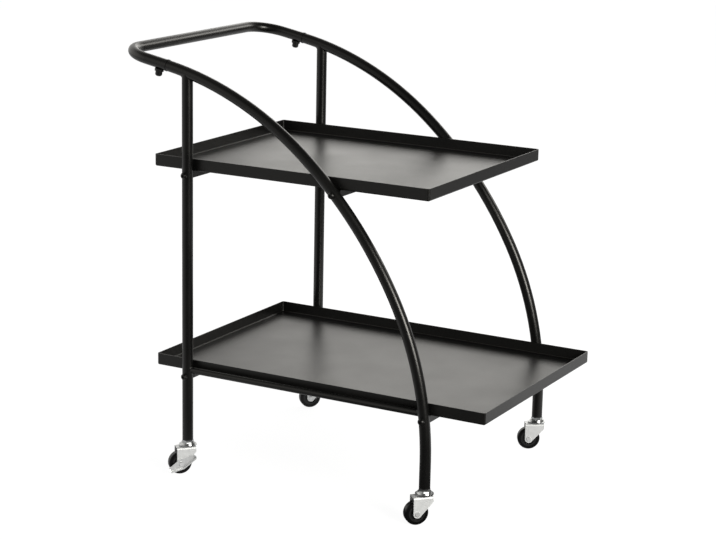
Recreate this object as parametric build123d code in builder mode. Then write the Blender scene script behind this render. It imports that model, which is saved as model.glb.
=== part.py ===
"""Two-tier kitchen cart: two trays on bowed tube side frames, a push handle and four swivel casters.

Millimetres, +Z up, +X forward (the handle is at the rear), +Y to the cart's left.
The origin is the middle of the lower tray's floor, on its upper face.
"""

import os
from math import acos, cos, degrees, radians, sin, sqrt

from build123d import *

# Trays
tray_width = 450.0
lower_tray_length = 674.0
upper_tray_length = 559.5
tray_rear_overhang = 76.0  # from the rear legs' axis back to the lower tray's rear edge
upper_tray_setback = 3.5  # the upper tray's rear edge behind the lower one's
tray_spacing = 375.0  # floor to floor
rim_height = 22.0
tray_sheet = 1.2
tray_corner_radius = 4.0
tray_bend_radius = 3.0

# Frame tubes
tube_diameter = 20.0
tube_wall = 1.2
tube_to_tray = 2.0
floor_height = 194.3  # lower tray's floor above the ground
wheelbase = 492.8  # rear leg axis to front leg axis
bow_foot = 48.0  # straight foot of the bowed tube above the caster
bow_lower_radius = 600.0
bow_lower_turn = 28.0  # degrees
bow_middle_radius = 767.0
bow_middle_turn = 22.0
bow_upper_radius = 610.0  # turns on as far as the handle joint
rail_diameter = 12.0
rail_rise = 5.5  # rail axis above the lower tray's underside

# Cross bars under the trays, with their end plugs and bolts
bar_size = 12.0
bar_wall = 1.2
plug_length = 14.0
bolt_diameter = 6.0
bolt_head_diameter = 12.0
bolt_head_height = 5.5
bolt_crown = 2.2  # bevel round the head
bolt_socket = 4.0  # across the flats
bolt_socket_depth = 2.0

# Push handle and its joints
joint_setback = 41.0  # handle joint behind the rear legs' axis
handle_straight = 47.0  # straight part of each handle arm
handle_corner_radius = 56.0
spigot_end_gap = 3.0
lip_length = 3.0
lip_rise = 0.8
knob_setback = 17.0  # knob screw behind the joint, along the handle
knob_collar_diameter = 16.5
knob_collar_height = 4.5
knob_grip_diameter = 12.5
knob_grip_height = 9.0
knob_bevel = 2.0
knob_screw_diameter = 5.0

# Leg inserts
insert_length = 24.0
insert_flange = 2.0

# Caster wheels
wheel_diameter = 43.0
tyre_width = 17.0
tyre_shoulder = 4.0
core_diameter = 30.0
core_rim_width = 15.0
core_rim_wall = 3.0
core_web_width = 9.0
boss_diameter = 13.0
boss_width = 18.0
axle_diameter = 6.0
axle_head_diameter = 9.5
axle_head_height = 2.2
axle_head_chamfer = 1.0

# Caster forks and swivels
trail = 15.0  # axle behind the swivel axis
fork_gap = 19.0
fork_sheet = 2.0
fork_nose = 13.5  # fork plate ahead of the swivel axis
fork_shoulder = 10.0
fork_tip_radius = 7.5
fork_bend_radius = 4.0
wheel_clearance = 4.7  # wheel top to the king pin's head
pin_diameter = 8.0
pin_head_diameter = 13.0
pin_head_height = 2.2
cup_diameter = 33.0  # over the flange
cup_flange = 2.5
cup_crown_diameter = 25.0
cup_height = 5.0
cup_sheet = 1.4
race_gap = 2.0  # fork to the cup's flange, bridged by the bearing
bearing_inner_diameter = 14.0
bearing_outer_diameter = 21.0
nut_flats = 19.0
nut_height = 4.8
nut_chamfer = 0.9
stud_diameter = 10.0
stud_length = 22.0

# Rocker brake lever
lever_sheet = 1.6
lever_hub_radius = 9.2
lever_end_radius = 4.4
lever_toe_reach = 25.5
lever_foot_reach = 21.5
lever_tilt = 26.5  # trailing end below level
lever_lip = 6.0  # foot lip, bent outwards along the lower edge

# Heading of each caster, in degrees from +X
caster_heading = {"left_front": 30.0, "right_front": 46.0, "left_rear": 45.0, "right_rear": 47.0}
braked_caster = "right_rear"

# Clearances
slip_fit = 0.05  # pins, plugs and spigots in their holes, on the radius
running_gap = 0.3  # flat faces that slide past each other
screw_hole_play = 0.25

# Places that follow from the sizes above: trays, bars and side frames
tube_radius = tube_diameter / 2
tube_bore = tube_radius - tube_wall
spigot_radius = tube_bore - slip_fit
side_offset = tray_width / 2 + tube_to_tray + tube_radius
bar_half_length = side_offset - tube_radius
tray_rear = -lower_tray_length / 2
rear_leg_x = tray_rear + tray_rear_overhang
front_leg_x = rear_leg_x + wheelbase
lower_bar_z = -tray_sheet - bar_size / 2
upper_bar_z = tray_spacing + lower_bar_z
rail_z = rail_rise - tray_sheet

# Caster levels, from the ground up
ground_z = -floor_height
axle_z = ground_z + wheel_diameter / 2
pin_head_z = ground_z + wheel_diameter + wheel_clearance
fork_underside = pin_head_z + pin_head_height + running_gap
fork_top = fork_underside + fork_sheet
bearing_foot = fork_top + running_gap
cup_underside = fork_top + race_gap
cup_top = cup_underside + cup_height
leg_end = cup_top + nut_height
tube_end = leg_end + insert_flange
fork_half_width = fork_gap / 2 + fork_sheet

# The bow is a chain of tangent arcs, from the upright foot of the front leg up to the handle joint
joint_x = rear_leg_x - joint_setback
bow_foot_top = tube_end + bow_foot
bow_arcs = []
tip_x, tip_z, tip_angle = front_leg_x, bow_foot_top, 0.0
for radius, turn in (
    (bow_lower_radius, bow_lower_turn),
    (bow_middle_radius, bow_middle_turn),
    (bow_upper_radius, None),
):
    center_x = tip_x - radius * cos(tip_angle)
    center_z = tip_z - radius * sin(tip_angle)
    end_angle = acos((joint_x - center_x) / radius) if turn is None else tip_angle + radians(turn)
    bow_arcs.append((center_x, center_z, radius, tip_angle, end_angle))
    tip_x = center_x + radius * cos(end_angle)
    tip_z = center_z + radius * sin(end_angle)
    tip_angle = end_angle
joint_z = tip_z


def bow_x(height):
    """X of the bow's centre line at a height."""
    for center_x, center_z, radius, start, end in bow_arcs:
        if radius * sin(start) <= height - center_z <= radius * sin(end):
            return center_x + sqrt(radius**2 - (height - center_z) ** 2)
    return front_leg_x


def bow_z(x):
    """Height of the bow's centre line at an X."""
    for center_x, center_z, radius, start, end in reversed(bow_arcs):
        if radius * cos(end) <= x - center_x <= radius * cos(start):
            return center_z + sqrt(radius**2 - (x - center_x) ** 2)
    return bow_foot_top


arm_direction = Vector(-sin(tip_angle), 0, cos(tip_angle))
arm_normal = Vector(cos(tip_angle), 0, sin(tip_angle))
arm_length = handle_straight + handle_corner_radius
spigot_length = handle_straight - spigot_end_gap

side_lines = {"left": side_offset, "right": -side_offset}
bar_spots = {
    "upper_rear": (rear_leg_x, upper_bar_z),
    "upper_front": (bow_x(upper_bar_z), upper_bar_z),
    "lower_rear": (rear_leg_x, lower_bar_z),
    "lower_front": (bow_x(lower_bar_z), lower_bar_z),
}
leg_spots = {
    "left_front": (front_leg_x, side_offset),
    "right_front": (front_leg_x, -side_offset),
    "left_rear": (rear_leg_x, side_offset),
    "right_rear": (rear_leg_x, -side_offset),
}
caster_places = {
    corner: Location((x, y, 0), (0, 0, caster_heading[corner])) for corner, (x, y) in leg_spots.items()
}

os.makedirs("parts", exist_ok=True)


def save(piece, name):
    """Label a finished piece and write it as its own node."""
    piece.label = name
    export_step(piece, f"parts/{name}.step")


def side_plane(y):
    """Upright plane of a side frame, with X to the right and Z up."""
    return Plane(origin=(0, y, 0), x_dir=(1, 0, 0), z_dir=(0, -1, 0))


def joint_plane(y, along=0.0):
    """Plane across a handle arm, at a distance behind the joint."""
    return Plane(origin=Vector(joint_x, y, joint_z) + arm_direction * along, z_dir=arm_direction)


def knob_plane(y):
    """Plane through a handle arm's axis at the knob screw, facing down."""
    origin = Vector(joint_x, y, joint_z) + arm_direction * knob_setback
    return Plane(origin=origin, x_dir=arm_direction, z_dir=-arm_normal)


# Trays: a pan with a bent-up rim on all four sides
tray_tiers = (
    ("upper", upper_tray_length, tray_rear - upper_tray_setback, tray_spacing),
    ("lower", lower_tray_length, tray_rear, 0.0),
)
for tier, length, rear_edge, level in tray_tiers:
    with BuildPart() as tray:
        with BuildSketch(Plane.XY.offset(level - tray_sheet)):
            with Locations((rear_edge + length / 2, 0)):
                RectangleRounded(length, tray_width, tray_corner_radius)
        extrude(amount=rim_height)
        fillet(tray.faces().sort_by(Axis.Z)[0].edges(), tray_bend_radius)
        offset(amount=-tray_sheet, openings=tray.faces().sort_by(Axis.Z)[-1])
    save(tray.part, f"{tier}_tray")

# Cross bars: square tubes whose flat ends butt on the legs
bar_bore = bar_size - 2 * bar_wall
for place, spot in bar_spots.items():
    with BuildPart() as bar:
        with BuildSketch(Plane.XZ):
            with Locations(spot):
                Rectangle(bar_size, bar_size)
                Rectangle(bar_bore, bar_bore, mode=Mode.SUBTRACT)
        extrude(amount=bar_half_length, both=True)
    save(bar.part, f"{place}_bar")

# Threaded plugs in the bar ends
plug_size = bar_bore - 2 * slip_fit
with BuildPart() as bar_plugs:
    for side in (-1, 1):
        with BuildSketch(side_plane(side * bar_half_length)):
            with Locations(*bar_spots.values()):
                Rectangle(plug_size, plug_size)
                Circle(bolt_diameter / 2 + slip_fit, mode=Mode.SUBTRACT)
        extrude(amount=side * plug_length)
save(bar_plugs.part, "bar_plugs")

# Button-head bolts through the legs into the plugs
bolt_reach = tube_diameter + plug_length - running_gap
with BuildPart() as bolt:
    with BuildSketch():
        Circle(bolt_head_diameter / 2)
    extrude(amount=bolt_head_height)
    chamfer(bolt.edges().sort_by(Axis.Z)[-1], bolt_crown)
    with BuildSketch(Plane.XY.offset(bolt_head_height)):
        RegularPolygon(bolt_socket / 2, 6, major_radius=False)
    extrude(amount=-bolt_socket_depth, mode=Mode.SUBTRACT)
    with BuildSketch():
        Circle(bolt_diameter / 2)
    extrude(amount=-bolt_reach)

bolt_places = [
    Location((x, side * (side_offset + tube_radius), z), (-90 * side, 0, 0))
    for side in (-1, 1)
    for x, z in bar_spots.values()
]
with BuildPart() as tray_bolts:
    with Locations(*bolt_places):
        add(bolt.part)
save(tray_bolts.part, "tray_bolts")

# Side frames
bolt_hole_radius = bolt_diameter / 2 + screw_hole_play
for name, side_y in side_lines.items():
    foot_plane = Plane(origin=(front_leg_x, side_y, tube_end))

    # The bowed tube, swaged at its rear end to slide into the handle
    with BuildPart() as bow:
        with BuildLine(side_plane(side_y)) as bow_line:
            Line((front_leg_x, tube_end), (front_leg_x, bow_foot_top))
            for center_x, center_z, radius, start, end in bow_arcs:
                CenterArc((center_x, center_z), radius, degrees(start), degrees(end - start))
        with BuildSketch(foot_plane):
            Circle(tube_radius)
            Circle(tube_bore, mode=Mode.SUBTRACT)
        sweep(path=bow_line.wire())
        with BuildSketch(joint_plane(side_y)):
            Circle(tube_bore + tube_wall / 2)
            Circle(spigot_radius - tube_wall, mode=Mode.SUBTRACT)
        extrude(amount=-tube_wall)
        with BuildSketch(joint_plane(side_y)):
            Circle(spigot_radius)
            Circle(spigot_radius - tube_wall, mode=Mode.SUBTRACT)
        extrude(amount=spigot_length)
        with BuildSketch(knob_plane(side_y)):
            Circle(knob_screw_diameter / 2 + slip_fit)
        extrude(amount=tube_radius, mode=Mode.SUBTRACT)
        with BuildSketch(side_plane(side_y)):
            with Locations(bar_spots["upper_front"], bar_spots["lower_front"]):
                Circle(bolt_hole_radius)
        extrude(amount=tube_radius, both=True, mode=Mode.SUBTRACT)
    save(bow.part, f"{name}_bow")

    # The rear leg, coped to the underside of the bow
    with BuildPart() as rear_leg:
        with BuildSketch(Plane(origin=(rear_leg_x, side_y, tube_end))):
            Circle(tube_radius)
            Circle(tube_bore, mode=Mode.SUBTRACT)
        extrude(amount=bow_z(rear_leg_x) - tube_end)
        with BuildSketch(foot_plane):
            Circle(tube_radius)
        sweep(path=bow_line.wire(), mode=Mode.SUBTRACT)
        with BuildSketch(side_plane(side_y)):
            with Locations(bar_spots["upper_rear"], bar_spots["lower_rear"]):
                Circle(bolt_hole_radius)
        extrude(amount=tube_radius, both=True, mode=Mode.SUBTRACT)
    save(rear_leg.part, f"{name}_rear_leg")

    # The rail beside the lower tray, coped to the rear leg and the bow
    with BuildPart() as rail:
        with BuildSketch(Plane(origin=(rear_leg_x, side_y, rail_z), z_dir=(1, 0, 0))):
            Circle(rail_diameter / 2)
            Circle(rail_diameter / 2 - tube_wall, mode=Mode.SUBTRACT)
        extrude(amount=bow_x(rail_z) - rear_leg_x)
        with BuildSketch(Plane(origin=(rear_leg_x, side_y, rail_z))):
            Circle(tube_radius)
        extrude(amount=rail_diameter, both=True, mode=Mode.SUBTRACT)
        with BuildSketch(foot_plane):
            Circle(tube_radius)
        sweep(path=bow_line.wire(), mode=Mode.SUBTRACT)
    save(rail.part, f"{name}_rail")

# Push handle: one bent tube whose arms slide over the swaged ends of the bows
with BuildPart() as handle:
    with BuildLine(Plane(origin=(joint_x, 0, joint_z), x_dir=arm_direction, z_dir=arm_normal)) as handle_line:
        FilletPolyline(
            (0, -side_offset),
            (arm_length, -side_offset),
            (arm_length, side_offset),
            (0, side_offset),
            radius=handle_corner_radius,
        )
    with BuildSketch(Plane(origin=handle_line.wire() @ 0, z_dir=arm_direction)):
        Circle(tube_radius)
        Circle(tube_bore, mode=Mode.SUBTRACT)
    sweep(path=handle_line.wire())
    for side_y in side_lines.values():
        with BuildSketch(joint_plane(side_y)):
            Circle(tube_radius + lip_rise)
            Circle(tube_radius - tube_wall / 2, mode=Mode.SUBTRACT)
        extrude(amount=lip_length)
        with BuildSketch(knob_plane(side_y)):
            Circle(knob_screw_diameter / 2 + screw_hole_play)
        extrude(amount=tube_diameter, mode=Mode.SUBTRACT)
save(handle.part, "handle")

# Knob screws that lock the handle on the bows
with BuildPart() as knob:
    with BuildSketch():
        Circle(knob_collar_diameter / 2)
    extrude(amount=knob_collar_height)
    with BuildSketch(Plane.XY.offset(knob_collar_height)):
        Circle(knob_grip_diameter / 2)
    extrude(amount=knob_grip_height)
    chamfer(knob.faces().sort_by(Axis.Z)[-1].edges(), knob_bevel)
    with BuildSketch():
        Circle(knob_screw_diameter / 2)
    extrude(amount=-tube_radius)

with BuildPart() as handle_knobs:
    with Locations(*(knob_plane(y).offset(tube_radius) for y in side_lines.values())):
        add(knob.part)
save(handle_knobs.part, "handle_knobs")

# Inserts in the leg ends, with a blind hole for the caster's stud
with BuildPart() as leg_inserts:
    with BuildSketch(Plane.XY.offset(leg_end)):
        with Locations(*leg_spots.values()):
            Circle(tube_radius)
    extrude(amount=insert_flange)
    with BuildSketch(Plane.XY.offset(tube_end)):
        with Locations(*leg_spots.values()):
            Circle(tube_bore - slip_fit)
    extrude(amount=insert_length)
    with BuildSketch(Plane.XY.offset(leg_end)):
        with Locations(*leg_spots.values()):
            Circle(stud_diameter / 2 + slip_fit)
    extrude(amount=stud_length + running_gap, mode=Mode.SUBTRACT)
save(leg_inserts.part, "leg_inserts")

# The casters are drawn about their swivel axis, rolling towards +X, then set under each leg
swivel_section = Plane.XZ
axle_section = Plane(origin=(-trail, 0, axle_z), x_dir=(0, 1, 0), z_dir=(1, 0, 0))
axle_axis = Axis((-trail, 0, axle_z), (0, 1, 0))
pin_bore = pin_diameter / 2 + slip_fit
axle_bore = axle_diameter / 2 + slip_fit

# Stem: stud, king pin and its peened head
with BuildPart() as stem:
    with BuildSketch(swivel_section):
        with BuildLine():
            Polyline(
                (0, pin_head_z),
                (pin_head_diameter / 2, pin_head_z),
                (pin_head_diameter / 2, pin_head_z + pin_head_height),
                (pin_diameter / 2, pin_head_z + pin_head_height),
                (pin_diameter / 2, cup_top),
                (stud_diameter / 2, cup_top),
                (stud_diameter / 2, leg_end + stud_length),
                (0, leg_end + stud_length),
                close=True,
            )
        make_face()
    revolve(axis=Axis.Z)

# Hex nut that locks the stud under the leg
nut_corner_radius = nut_flats / sqrt(3)
with BuildPart() as nut:
    with BuildSketch(Plane.XY.offset(cup_top)):
        Circle(nut_corner_radius)
        Circle(stud_diameter / 2 + slip_fit, mode=Mode.SUBTRACT)
    extrude(amount=nut_height)
    chamfer(nut.edges().filter_by(GeomType.CIRCLE).sort_by(SortBy.RADIUS)[-2:], nut_chamfer)
    with BuildSketch(Plane.XY.offset(cup_top)):
        RegularPolygon(nut_flats / 2, 6, major_radius=False)
    extrude(amount=nut_height, mode=Mode.INTERSECT)

# Raceway cup over the bearing: a flanged pressing with a sloping wall
cup_radius = cup_diameter / 2
cup_foot_radius = cup_radius - cup_flange
cup_crown_radius = cup_crown_diameter / 2
with BuildPart() as cup:
    with BuildSketch(swivel_section):
        with BuildLine():
            Polyline(
                (pin_bore, cup_top),
                (cup_crown_radius, cup_top),
                (cup_foot_radius, cup_underside + cup_sheet),
                (cup_radius, cup_underside + cup_sheet),
                (cup_radius, cup_underside),
                (cup_foot_radius - cup_sheet, cup_underside),
                (cup_crown_radius - cup_sheet, cup_top - cup_sheet),
                (pin_bore, cup_top - cup_sheet),
                close=True,
            )
        make_face()
    revolve(axis=Axis.Z)

# Bearing ring that stands on the fork inside the cup
with BuildPart() as bearing:
    with BuildSketch(Plane.XY.offset(bearing_foot)):
        Circle(bearing_outer_diameter / 2)
        Circle(bearing_inner_diameter / 2, mode=Mode.SUBTRACT)
    extrude(amount=cup_top - cup_sheet - bearing_foot)

# Fork: a bent plate with two tapered arms down to the axle
with BuildPart() as fork:
    with BuildSketch(swivel_section):
        with Locations((-trail, axle_z)):
            Circle(fork_tip_radius)
        with Locations((fork_nose, fork_top)):
            Rectangle(trail + fork_tip_radius + fork_nose, fork_shoulder, align=(Align.MAX, Align.MAX))
        make_hull()
    extrude(amount=fork_half_width, both=True)
    with BuildSketch(Plane.YZ):
        with Locations((0, fork_underside)):
            Rectangle(fork_gap, floor_height, align=(Align.CENTER, Align.MAX))
    extrude(amount=floor_height, both=True, mode=Mode.SUBTRACT)
    fillet(fork.edges().filter_by(Axis.X).group_by(Axis.Z)[0], fork_bend_radius - fork_sheet)
    fillet(fork.edges().filter_by(Axis.X).group_by(Axis.Z)[-1], fork_bend_radius)
    with Locations((0, 0, fork_top)):
        Hole(pin_bore)
    with BuildSketch(Plane(origin=(-trail, 0, axle_z), z_dir=(0, 1, 0))):
        Circle(axle_bore)
    extrude(amount=fork_half_width, both=True, mode=Mode.SUBTRACT)


def make_axle(right_end):
    """Axle rivet with a head at each end; the right head sits at a distance from the middle."""
    with BuildPart() as axle:
        ends = (
            (Plane(origin=(-trail, fork_half_width, axle_z), z_dir=(0, 1, 0)), fork_half_width + right_end),
            (Plane(origin=(-trail, -right_end, axle_z), z_dir=(0, -1, 0)), 0),
        )
        for end_plane, shaft_length in ends:
            with BuildSketch(end_plane):
                Circle(axle_head_diameter / 2)
            extrude(amount=axle_head_height)
            if shaft_length:
                with BuildSketch(end_plane):
                    Circle(axle_diameter / 2)
                extrude(amount=-shaft_length)
        rims = axle.edges().filter_by(GeomType.CIRCLE).sort_by(Axis.Y)
        chamfer([rims[0], rims[-1]], axle_head_chamfer)
    return axle.part


# Wheel core: boss, web and rim
boss_radius = boss_diameter / 2
core_radius = core_diameter / 2
with BuildPart() as core:
    with BuildSketch(axle_section):
        with BuildLine():
            Polyline(
                (0, axle_bore),
                (boss_width / 2, axle_bore),
                (boss_width / 2, boss_radius),
                (core_web_width / 2, boss_radius),
                (core_web_width / 2, core_radius - core_rim_wall),
                (core_rim_width / 2, core_radius - core_rim_wall),
                (core_rim_width / 2, core_radius),
                (0, core_radius),
                close=True,
            )
        make_face()
        mirror(about=Plane.YZ)
    revolve(axis=axle_axis)

# Tyre with rounded shoulders
with BuildPart() as tyre:
    with BuildSketch(axle_section) as tyre_profile:
        with Locations((0, core_radius)):
            Rectangle(tyre_width, wheel_diameter / 2 - core_radius, align=(Align.CENTER, Align.MIN))
        fillet(tyre_profile.vertices().group_by(Axis.Y)[-1], tyre_shoulder)
    revolve(axis=axle_axis)

# Rocker brake lever: a plate on the axle, outside the fork's right arm, with a foot lip along its lower edge
lever_seat = fork_half_width + running_gap
lever_angle = radians(lever_tilt)
lever_across = (-sin(lever_angle) * lever_sheet, cos(lever_angle) * lever_sheet)
lever_toe = (lever_toe_reach * cos(lever_angle), lever_toe_reach * sin(lever_angle))
lever_foot = (-lever_foot_reach * cos(lever_angle), -lever_foot_reach * sin(lever_angle))
with BuildPart() as lever:
    with BuildSketch(swivel_section.offset(lever_seat)) as lever_outline:
        with Locations((-trail, axle_z)):
            Circle(lever_hub_radius)
            with Locations(lever_toe, lever_foot):
                Circle(lever_end_radius)
        make_hull()
    extrude(amount=lever_sheet)
    with BuildSketch(swivel_section.offset(lever_seat)):
        add(lever_outline.sketch_local)
        with Locations(lever_across):
            add(lever_outline.sketch_local, mode=Mode.SUBTRACT)
    extrude(amount=lever_sheet + lever_lip)
    with BuildSketch(swivel_section.offset(lever_seat)):
        with Locations((-trail, axle_z)):
            Circle(axle_bore)
    extrude(amount=lever_sheet, mode=Mode.SUBTRACT)

plain_axle = make_axle(fork_half_width)
braked_axle = make_axle(lever_seat + lever_sheet + running_gap)
for corner, place in caster_places.items():
    save(stem.part.moved(place), f"{corner}_stem")
    save(cup.part.moved(place), f"{corner}_cup")
    save(bearing.part.moved(place), f"{corner}_bearing")
    save(fork.part.moved(place), f"{corner}_fork")
    save(core.part.moved(place), f"{corner}_wheel_core")
    save(tyre.part.moved(place), f"{corner}_tyre")
    axle = braked_axle if corner == braked_caster else plain_axle
    save(axle.moved(place), f"{corner}_axle")
save(lever.part.moved(caster_places[braked_caster]), "brake_lever")

with BuildPart() as stem_nuts:
    with Locations(*caster_places.values()):
        add(nut.part)
save(stem_nuts.part, "stem_nuts")
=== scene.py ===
"""Looks of the kitchen cart: its finishes, its weld fillets and a white studio round it."""

from math import atan2, cos, hypot, pi, radians, sin

import bpy
from mathutils import Matrix, Vector


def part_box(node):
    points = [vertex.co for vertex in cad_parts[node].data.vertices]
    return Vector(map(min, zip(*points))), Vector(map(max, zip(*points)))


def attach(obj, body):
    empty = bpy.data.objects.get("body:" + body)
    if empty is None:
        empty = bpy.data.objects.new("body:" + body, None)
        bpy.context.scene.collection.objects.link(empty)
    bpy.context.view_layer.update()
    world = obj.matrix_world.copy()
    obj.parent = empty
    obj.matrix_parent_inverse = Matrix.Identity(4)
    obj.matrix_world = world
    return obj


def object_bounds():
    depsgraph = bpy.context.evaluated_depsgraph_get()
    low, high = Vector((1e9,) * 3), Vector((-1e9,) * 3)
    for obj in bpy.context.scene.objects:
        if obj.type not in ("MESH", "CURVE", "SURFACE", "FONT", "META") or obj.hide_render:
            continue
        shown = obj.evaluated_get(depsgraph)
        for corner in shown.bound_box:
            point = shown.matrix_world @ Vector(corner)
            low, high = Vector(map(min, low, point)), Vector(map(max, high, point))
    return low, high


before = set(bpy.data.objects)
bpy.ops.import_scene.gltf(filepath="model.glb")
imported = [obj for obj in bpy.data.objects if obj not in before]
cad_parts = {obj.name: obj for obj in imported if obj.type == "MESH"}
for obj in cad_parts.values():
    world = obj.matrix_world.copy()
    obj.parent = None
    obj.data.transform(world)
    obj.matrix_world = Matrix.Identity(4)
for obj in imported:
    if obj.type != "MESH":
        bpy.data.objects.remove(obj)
solids_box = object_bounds()

WHITE = (1, 1, 1, 1)
WARM_WHITE = (1.0, 0.985, 0.95, 1)


# Finishes, with all sizes in metres

MOTTLE_ENDS = (0.3, 0.7)
PAINT_IOR = 1.50
PAINT_CLOUDS = 0.09
ZINC_CLOUDS = 0.008
PRESS_MARKS = 0.0012
PRESS_MARK_DEPTH = 0.00004
PLASTIC_IOR = 1.45
PLASTIC_CLOUDS = 0.012


def start_finish(name):
    """Begins a finish and gives its material, its node tree, its surface and the piece's coordinates."""
    finish = bpy.data.materials.new(name)
    finish.use_nodes = True
    tree = finish.node_tree
    surface = tree.nodes["Principled BSDF"]
    place = tree.nodes.new("ShaderNodeTexCoord").outputs["Object"]
    return finish, tree, surface, place


def grain(tree, place, size, detail, roughness=0.5, stretch=None):
    """Soft random mottling with features of about the given size."""
    if stretch:
        turn = tree.nodes.new("ShaderNodeMapping")
        turn.inputs["Scale"].default_value = stretch
        tree.links.new(place, turn.inputs["Vector"])
        place = turn.outputs["Vector"]
    noise = tree.nodes.new("ShaderNodeTexNoise")
    noise.inputs["Scale"].default_value = 1 / size
    noise.inputs["Detail"].default_value = detail
    noise.inputs["Roughness"].default_value = roughness
    tree.links.new(place, noise.inputs["Vector"])
    return noise.outputs["Fac"]


def spread(tree, amount, ends):
    """Turns mottling into a value between two ends."""
    scale = tree.nodes.new("ShaderNodeMapRange")
    scale.inputs["From Min"].default_value, scale.inputs["From Max"].default_value = MOTTLE_ENDS
    scale.inputs["To Min"].default_value, scale.inputs["To Max"].default_value = ends
    tree.links.new(amount, scale.inputs["Value"])
    return scale.outputs["Result"]


def shades(tree, amount, tones):
    """Turns mottling into a colour between a dark and a light one."""
    ramp = tree.nodes.new("ShaderNodeValToRGB")
    for stop, position, tone in zip(ramp.color_ramp.elements, MOTTLE_ENDS, tones):
        stop.position = position
        stop.color = (*tone, 1)
    tree.links.new(amount, ramp.inputs["Fac"])
    return ramp.outputs["Color"]


def relief(tree, surface, height, depth):
    """Raises the surface by mottling of the given depth."""
    bump = tree.nodes.new("ShaderNodeBump")
    bump.inputs["Distance"].default_value = depth
    tree.links.new(height, bump.inputs["Height"])
    tree.links.new(bump.outputs["Normal"], surface.inputs["Normal"])


def powder_coat(name, tones, roughness, peel):
    """Baked black paint with a fine orange peel of the given size and depth."""
    finish, tree, surface, place = start_finish(name)
    peel_size, peel_depth = peel
    surface.inputs["IOR"].default_value = PAINT_IOR
    surface.inputs["Specular Tint"].default_value = WARM_WHITE
    clouds = grain(tree, place, PAINT_CLOUDS, detail=4.0)
    fine = grain(tree, place, peel_size, detail=2.0)
    tree.links.new(shades(tree, clouds, tones), surface.inputs["Base Color"])
    tree.links.new(spread(tree, clouds, roughness), surface.inputs["Roughness"])
    relief(tree, surface, fine, peel_depth)
    return finish


def zinc_plate(name, tones, roughness, metal, draw=None):
    """Bright zinc plate with cloudy tone and fine press marks, which draw stretches."""
    finish, tree, surface, place = start_finish(name)
    surface.inputs["Metallic"].default_value = metal
    clouds = grain(tree, place, ZINC_CLOUDS, detail=5.0, roughness=0.6)
    marks = grain(tree, place, PRESS_MARKS, detail=3.0, stretch=draw)
    tree.links.new(shades(tree, clouds, tones), surface.inputs["Base Color"])
    tree.links.new(spread(tree, marks, roughness), surface.inputs["Roughness"])
    relief(tree, surface, marks, PRESS_MARK_DEPTH)
    return finish


def moulded(name, tones, roughness, spark, gloss=0.5):
    """Moulded black plastic or rubber with a fine spark texture of the given size and depth."""
    finish, tree, surface, place = start_finish(name)
    spark_size, spark_depth = spark
    surface.inputs["IOR"].default_value = PLASTIC_IOR
    surface.inputs["Specular IOR Level"].default_value = gloss
    clouds = grain(tree, place, PLASTIC_CLOUDS, detail=4.0)
    fine = grain(tree, place, spark_size, detail=2.0)
    tree.links.new(shades(tree, clouds, tones), surface.inputs["Base Color"])
    tree.links.new(spread(tree, clouds, roughness), surface.inputs["Roughness"])
    relief(tree, surface, fine, spark_depth)
    return finish


def greys(dark, light):
    """A dark and a light neutral tone."""
    return (dark, dark, dark), (light, light, light)


FRAME_BLACK = ((0.0027, 0.0027, 0.0026), (0.0043, 0.0043, 0.0041))
TRAY_BLACK = ((0.0034, 0.0034, 0.0032), (0.0054, 0.0053, 0.0050))
PRESSED_ZINC = ((0.84, 0.85, 0.85), (0.93, 0.94, 0.94))
TURNED_ZINC = ((0.50, 0.51, 0.51), (0.62, 0.63, 0.63))
FRAME_PEEL = (0.0012, 0.00006)
TRAY_PEEL = (0.0009, 0.00005)
BOLT_PEEL = (0.0006, 0.00003)
FINE_SPARK = (0.0005, 0.00004)
WHEEL_SPARK = (0.0006, 0.00004)
TYRE_SPARK = (0.0007, 0.00003)

frame_paint = powder_coat("frame_paint", FRAME_BLACK, roughness=(0.24, 0.31), peel=FRAME_PEEL)
tray_paint = powder_coat("tray_paint", TRAY_BLACK, roughness=(0.335, 0.375), peel=TRAY_PEEL)
bolt_black = powder_coat("bolt_black", FRAME_BLACK, roughness=(0.24, 0.31), peel=BOLT_PEEL)
knob_plastic = moulded("knob_plastic", greys(0.010, 0.016), roughness=(0.34, 0.46), spark=FINE_SPARK)
insert_plastic = moulded("insert_plastic", greys(0.010, 0.015), roughness=(0.45, 0.55), spark=FINE_SPARK)
wheel_plastic = moulded("wheel_plastic", greys(0.010, 0.016), roughness=(0.30, 0.42), spark=WHEEL_SPARK)
tyre_rubber = moulded(
    "tyre_rubber", greys(0.0015, 0.003), roughness=(0.26, 0.34), spark=TYRE_SPARK, gloss=0.3
)
nut_zinc = zinc_plate("nut_zinc", TURNED_ZINC, roughness=(0.20, 0.30), metal=1.0)
cup_zinc = zinc_plate("cup_zinc", TURNED_ZINC, roughness=(0.20, 0.30), metal=1.0)
# The bearing's steel is painted near black as the shade in the gap between the cup and the fork
bearing_steel = zinc_plate("bearing_steel", greys(0.05, 0.09), roughness=(0.35, 0.50), metal=1.0)
fork_zinc = zinc_plate("fork_zinc", PRESSED_ZINC, roughness=(0.42, 0.54), metal=0.5, draw=(1, 1, 0.25))
axle_zinc = zinc_plate("axle_zinc", PRESSED_ZINC, roughness=(0.25, 0.36), metal=0.55)
lever_zinc = zinc_plate("lever_zinc", PRESSED_ZINC, roughness=(0.28, 0.40), metal=0.7)

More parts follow.
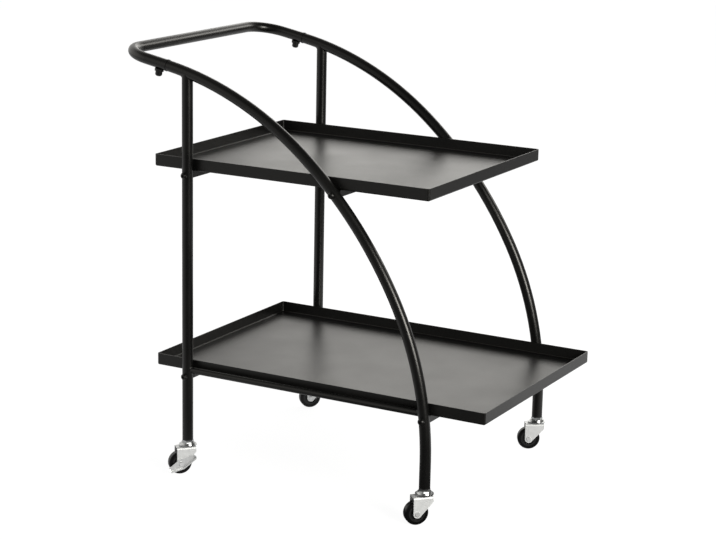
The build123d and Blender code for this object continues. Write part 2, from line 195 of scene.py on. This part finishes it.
# The last word of a node's name says which kind of piece it is
FINISH_OF_KIND = {
    "tray": tray_paint,
    "bar": frame_paint,
    "plugs": insert_plastic,
    "bolts": bolt_black,
    "bow": frame_paint,
    "leg": frame_paint,
    "rail": frame_paint,
    "handle": frame_paint,
    "knobs": knob_plastic,
    "inserts": insert_plastic,
    "nuts": nut_zinc,
    "stem": nut_zinc,
    "cup": cup_zinc,
    "bearing": bearing_steel,
    "fork": fork_zinc,
    "axle": axle_zinc,
    "core": wheel_plastic,
    "tyre": tyre_rubber,
    "lever": lever_zinc,
}

for node_name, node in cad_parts.items():
    kind = node_name.split("_")[-1]
    node.data.materials.clear()
    node.data.materials.append(FINISH_OF_KIND[kind])


# Weld fillets where one tube ends on another

TUBE_RADIUS = 0.010
RAIL_RADIUS = 0.006
BOW_HEIGHT_AT_LEG = 0.5519
BOW_SLOPE_AT_LEG = radians(14.6)
BOW_X_AT_RAIL = 0.2258
BOW_LEAN_AT_RAIL = radians(8.1)
LEG_WELD_WIDTHS = (0.006, 0.003)
RAIL_WELD_WIDTHS = (0.002, 0.002)
WELD_SINK = 0.0001
WELD_THINNING = 2.5
WELD_SHARP_EDGE = radians(40)
WELD_STEPS_ROUND = 48
WELD_STEPS_ON_FACE = 6
WELD_STEPS_IN_ALL = WELD_STEPS_ON_FACE + 2
RING_RADIUS = 1.0


def meet(start, heading, centre, run, radius):
    """The point where a line first meets a round tube, or passes closest to it."""
    offset = start - centre
    offset = offset - offset.dot(run) * run
    across = heading - heading.dot(run) * run
    half = offset.dot(across)
    square = max(half * half - across.length_squared * (offset.length_squared - radius * radius), 0.0)
    return start + heading * ((-half - square ** 0.5) / across.length_squared)


def weld(name, end, heading, radius, centre, run, main_radius, widths):
    """A hollow fillet round the end of a tube that runs into the side of a main tube.

    The end tube's middle line passes through end towards heading, and the main tube's through centre
    towards run. The two widths are those on the sides that face back and ahead along the main tube, and
    between them the fillet thins out where both tubes are of one size. It starts as a plain ring, whose
    section becomes the hollow face, from its foot on the end tube to its brim on the main tube, and a
    corner sunk into both.
    """
    end, heading, centre, run = (Vector(value) for value in (end, heading, centre, run))
    width_behind, width_ahead = widths
    ahead = (run - run.dot(heading) * heading).normalized()
    sideways = heading.cross(ahead)
    bpy.ops.object.select_all(action="DESELECT")
    bpy.ops.mesh.primitive_torus_add(
        major_segments=WELD_STEPS_ROUND, minor_segments=WELD_STEPS_IN_ALL,
        major_radius=RING_RADIUS, minor_radius=RING_RADIUS / 2,
    )
    bead = bpy.context.active_object
    bead.name = name
    for vertex in bead.data.vertices:
        turn = atan2(vertex.co.y, vertex.co.x)
        tilt = atan2(vertex.co.z, hypot(vertex.co.x, vertex.co.y) - RING_RADIUS)
        step = round(tilt / (2 * pi) * WELD_STEPS_IN_ALL) % WELD_STEPS_IN_ALL
        outward = cos(turn) * ahead + sin(turn) * sideways
        width = width_ahead if cos(turn) > 0 else width_behind
        if radius == main_radius:
            width = width * abs(cos(turn)) ** WELD_THINNING
        corner = meet(end + radius * outward, heading, centre, run, main_radius)
        if step == 0:
            vertex.co = corner + WELD_SINK * (heading - outward)
        else:
            share = (step - 1) / WELD_STEPS_ON_FACE
            foot = corner - width * heading - WELD_SINK * outward
            landing = meet(end + (radius + width) * outward, heading, centre, run, main_radius)
            brim = landing + WELD_SINK * heading
            vertex.co = (1 - share) ** 2 * foot + 2 * share * (1 - share) * corner + share ** 2 * brim
    bpy.ops.object.mode_set(mode="EDIT")
    bpy.ops.mesh.select_all(action="SELECT")
    bpy.ops.mesh.normals_make_consistent(inside=False)
    bpy.ops.object.mode_set(mode="OBJECT")
    bpy.ops.object.shade_smooth_by_angle(angle=WELD_SHARP_EDGE)
    bead.data.materials.append(frame_paint)
    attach(bead, "frame")


for side in ("left", "right"):
    leg_low, leg_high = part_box(side + "_rear_leg")
    leg_x = (leg_low[0] + leg_high[0]) / 2
    side_y = (leg_low[1] + leg_high[1]) / 2
    rail_low, rail_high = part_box(side + "_rail")
    rail_z = (rail_low[2] + rail_high[2]) / 2
    rail_middle = (0, side_y, rail_z)
    weld(
        side + "_leg_weld",
        end=(leg_x, side_y, rail_z), heading=(0, 0, 1), radius=TUBE_RADIUS,
        centre=(leg_x, side_y, BOW_HEIGHT_AT_LEG), run=(cos(BOW_SLOPE_AT_LEG), 0, -sin(BOW_SLOPE_AT_LEG)),
        main_radius=TUBE_RADIUS, widths=LEG_WELD_WIDTHS,
    )
    weld(
        side + "_rail_rear_weld",
        end=rail_middle, heading=(-1, 0, 0), radius=RAIL_RADIUS,
        centre=(leg_x, side_y, 0), run=(0, 0, 1),
        main_radius=TUBE_RADIUS, widths=RAIL_WELD_WIDTHS,
    )
    weld(
        side + "_rail_front_weld",
        end=rail_middle, heading=(1, 0, 0), radius=RAIL_RADIUS,
        centre=(BOW_X_AT_RAIL, side_y, rail_z), run=(-sin(BOW_LEAN_AT_RAIL), 0, cos(BOW_LEAN_AT_RAIL)),
        main_radius=TUBE_RADIUS, widths=RAIL_WELD_WIDTHS,
    )


# Studio: white for the camera, and in reflections a white wall behind, a dark front and ceiling, and a
# floor mostly dark with painted shade and a painted pool of light

SKY_FILL = 0.36
WALL_AZIMUTH = radians(-115)
WALL_EDGES = (radians(125), radians(45))
WALL_TOPS = (radians(28), radians(60))
WALL_TONE = 1.0
DARK_TONE = 0.13
CEILING_SHARE = 0.22
FLOOR_HEIGHT = solids_box[0][2]
FLOOR_SIZE = 60.0
FLOOR_PAINT = (0.85, 0.85, 0.85, 1)
FLOOR_WHITE = 1.24
FLOOR_SHADOW = 0.25
# Share of the wall's tone painted on the floor as shade and light, seen in reflections
FLOOR_SHARE = 0.6
# A painted pool of light on the floor behind the cart, seen in reflections
PAINTED_POOL_PLACE = (0.75, 0.75)
PAINTED_POOL_EDGES = (0.3, 1.1)
PAINTED_POOL_TONE = 0.85
LAMP_WARMTH = (1.0, 0.985, 0.94)


def arithmetic(tree, operation, first, second):
    """One sum on two values, each a socket or a number."""
    node = tree.nodes.new("ShaderNodeMath")
    node.operation = operation
    for socket, value in zip(node.inputs, (first, second)):
        if isinstance(value, bpy.types.NodeSocket):
            tree.links.new(value, socket)
        else:
            socket.default_value = value
    return node.outputs[0]


def ray_mask(tree, *kinds):
    """One where a ray is of one of the given kinds."""
    rays = tree.nodes.new("ShaderNodeLightPath")
    mask = rays.outputs[kinds[0]]
    for kind in kinds[1:]:
        mask = arithmetic(tree, "MAXIMUM", mask, rays.outputs[kind])
    return mask


def fade(tree, amount, edges, tones):
    """A soft step from one tone to another between two edges."""
    step = tree.nodes.new("ShaderNodeMapRange")
    step.interpolation_type = "SMOOTHSTEP"
    step.inputs["From Min"].default_value, step.inputs["From Max"].default_value = edges
    step.inputs["To Min"].default_value, step.inputs["To Max"].default_value = tones
    tree.links.new(amount, step.inputs["Value"])
    return step.outputs["Result"]


def wall_tone(tree, direction):
    """The tone of the wall or of the dark front in a direction, seen from the cart."""
    facing = tree.nodes.new("ShaderNodeVectorMath")
    facing.operation = "DOT_PRODUCT"
    facing.inputs[1].default_value = (sin(WALL_AZIMUTH), -cos(WALL_AZIMUTH), 0)
    tree.links.new(direction, facing.inputs[0])
    return fade(tree, facing.outputs["Value"], [cos(edge) for edge in WALL_EDGES], (DARK_TONE, WALL_TONE))


def seen_as(tree, camera_tone, other_tone):
    """One tone for the camera and another for all other rays."""
    camera_ray = ray_mask(tree, "Is Camera Ray")
    other_ray = arithmetic(tree, "SUBTRACT", 1.0, camera_ray)
    return arithmetic(
        tree, "ADD",
        arithmetic(tree, "MULTIPLY", camera_ray, camera_tone),
        arithmetic(tree, "MULTIPLY", other_ray, other_tone),
    )


def make_sky():
    """White for the camera, the studio's tones for reflections and a soft fill for everything else."""
    sky = bpy.data.worlds.new("studio")
    bpy.context.scene.world = sky
    sky.use_nodes = True
    tree = sky.node_tree
    fill = tree.nodes["Background"]
    fill.inputs["Color"].default_value = WHITE
    fill.inputs["Strength"].default_value = SKY_FILL
    white = tree.nodes.new("ShaderNodeBackground")
    white.inputs["Color"].default_value = WARM_WHITE
    direction = tree.nodes.new("ShaderNodeTexCoord").outputs["Generated"]
    parts = tree.nodes.new("ShaderNodeSeparateXYZ")
    tree.links.new(direction, parts.inputs[0])
    low = fade(tree, parts.outputs["Z"], [sin(top) for top in WALL_TOPS], (1.0, CEILING_SHARE))
    tone = arithmetic(tree, "MULTIPLY", wall_tone(tree, direction), low)
    tree.links.new(seen_as(tree, 1.0, tone), white.inputs["Strength"])
    mix = tree.nodes.new("ShaderNodeMixShader")
    tree.links.new(ray_mask(tree, "Is Camera Ray", "Is Glossy Ray", "Is Transmission Ray"), mix.inputs[0])
    tree.links.new(fill.outputs[0], mix.inputs[1])
    tree.links.new(white.outputs[0], mix.inputs[2])
    tree.links.new(mix.outputs[0], tree.nodes["World Output"].inputs["Surface"])


def floor_painted_light_and_shade(tree):
    """The floor's painted light and shade in reflections: a share of the wall's tone, painted dark away
    from the wall, and a painted pool of light behind the cart.
    """
    place = tree.nodes.new("ShaderNodeNewGeometry").outputs["Position"]
    outward = tree.nodes.new("ShaderNodeVectorMath")
    outward.operation = "NORMALIZE"
    tree.links.new(place, outward.inputs[0])
    # Painted shade and light: the wall's tone, dimmed, painted on the floor by direction from the cart
    painted_far_light_and_shade = arithmetic(tree, "MULTIPLY", wall_tone(tree, outward.outputs["Vector"]), FLOOR_SHARE)
    # Painted pool of light round a point behind the cart
    to_painted_pool = tree.nodes.new("ShaderNodeVectorMath")
    to_painted_pool.operation = "DISTANCE"
    to_painted_pool.inputs[1].default_value = (*PAINTED_POOL_PLACE, FLOOR_HEIGHT)
    tree.links.new(place, to_painted_pool.inputs[0])
    painted_pool = fade(tree, to_painted_pool.outputs["Value"], PAINTED_POOL_EDGES, (PAINTED_POOL_TONE, 0.0))
    return arithmetic(tree, "MAXIMUM", painted_far_light_and_shade, painted_pool)


def make_floor():
    """A pale studio floor that the camera sees as white with a light shadow, and that glows in
    reflections with painted shade and a painted pool of light.
    """
    bpy.ops.object.select_all(action="DESELECT")
    bpy.ops.mesh.primitive_plane_add(size=FLOOR_SIZE, location=(0, 0, FLOOR_HEIGHT))
    floor = bpy.context.active_object
    floor.name = "studio_floor"
    finish = bpy.data.materials.new("studio_floor")
    finish.use_nodes = True
    tree = finish.node_tree
    tree.nodes.clear()
    lit = tree.nodes.new("ShaderNodeBsdfDiffuse")
    lit.inputs["Color"].default_value = FLOOR_PAINT
    white = tree.nodes.new("ShaderNodeEmission")
    white.inputs["Color"].default_value = WHITE
    # In reflections the floor glows with painted shade and a painted pool of light
    tree.links.new(seen_as(tree, FLOOR_WHITE, floor_painted_light_and_shade(tree)), white.inputs["Strength"])
    mirrored = ray_mask(tree, "Is Glossy Ray", "Is Transmission Ray")
    mix = tree.nodes.new("ShaderNodeMixShader")
    tree.links.new(seen_as(tree, 1 - FLOOR_SHADOW, mirrored), mix.inputs[0])
    tree.links.new(lit.outputs[0], mix.inputs[1])
    tree.links.new(white.outputs[0], mix.inputs[2])
    output = tree.nodes.new("ShaderNodeOutputMaterial")
    tree.links.new(mix.outputs[0], output.inputs["Surface"])
    floor.data.materials.append(finish)


def make_softbox(name, place, target, size, power):
    """A soft studio lamp aimed at a point."""
    lamp = bpy.data.lights.new(name, "AREA")
    lamp.shape = "RECTANGLE"
    lamp.size, lamp.size_y = size
    lamp.energy = power
    lamp.color = LAMP_WARMTH
    holder = bpy.data.objects.new(name, lamp)
    bpy.context.scene.collection.objects.link(holder)
    aim = (Vector(target) - Vector(place)).to_track_quat("-Z", "Y")
    holder.matrix_world = Matrix.LocRotScale(Vector(place), aim, None)


make_sky()
make_floor()
make_softbox("key_light", place=(3.36, -1.39, 1.30), target=(0, 0, 0.25), size=(1.5, 1.5), power=102)
make_softbox("side_light", place=(1.30, 2.80, 1.75), target=(-0.3, 0, 0.5), size=(1.8, 0.9), power=18)
make_softbox("back_light", place=(-0.70, 2.62, 1.32), target=(0, 0, 0.4), size=(2.2, 1.2), power=10.2)


# Camera of the photograph, in the cart's own frame

PICTURE_WIDTH = 716
EYE = (1.7143, -3.1793, 1.0748)
EYE_AZIMUTH = radians(28.879)
EYE_ELEVATION = radians(13.939)
EYE_ROLL = radians(1.139)
FOCAL_PIXELS = 2008.7
SENSOR_WIDTH = 36.0


def make_camera():
    """A camera that stands, looks and leans as the photograph's did."""
    back = Vector((
        sin(EYE_AZIMUTH) * cos(EYE_ELEVATION),
        -cos(EYE_AZIMUTH) * cos(EYE_ELEVATION),
        sin(EYE_ELEVATION),
    ))
    level = Vector((cos(EYE_AZIMUTH), sin(EYE_AZIMUTH), 0))
    upright = back.cross(level)
    right = cos(EYE_ROLL) * level + sin(EYE_ROLL) * upright
    up = cos(EYE_ROLL) * upright - sin(EYE_ROLL) * level
    lens = bpy.data.cameras.new("camera")
    lens.sensor_fit = "HORIZONTAL"
    lens.sensor_width = SENSOR_WIDTH
    lens.lens = FOCAL_PIXELS * SENSOR_WIDTH / PICTURE_WIDTH
    camera = bpy.data.objects.new("camera", lens)
    bpy.context.scene.collection.objects.link(camera)
    turn = Matrix((right, up, back)).transposed().to_4x4()
    camera.matrix_world = Matrix.Translation(EYE) @ turn
    bpy.context.scene.camera = camera


make_camera()
bpy.context.scene.view_settings.view_transform = "Standard"
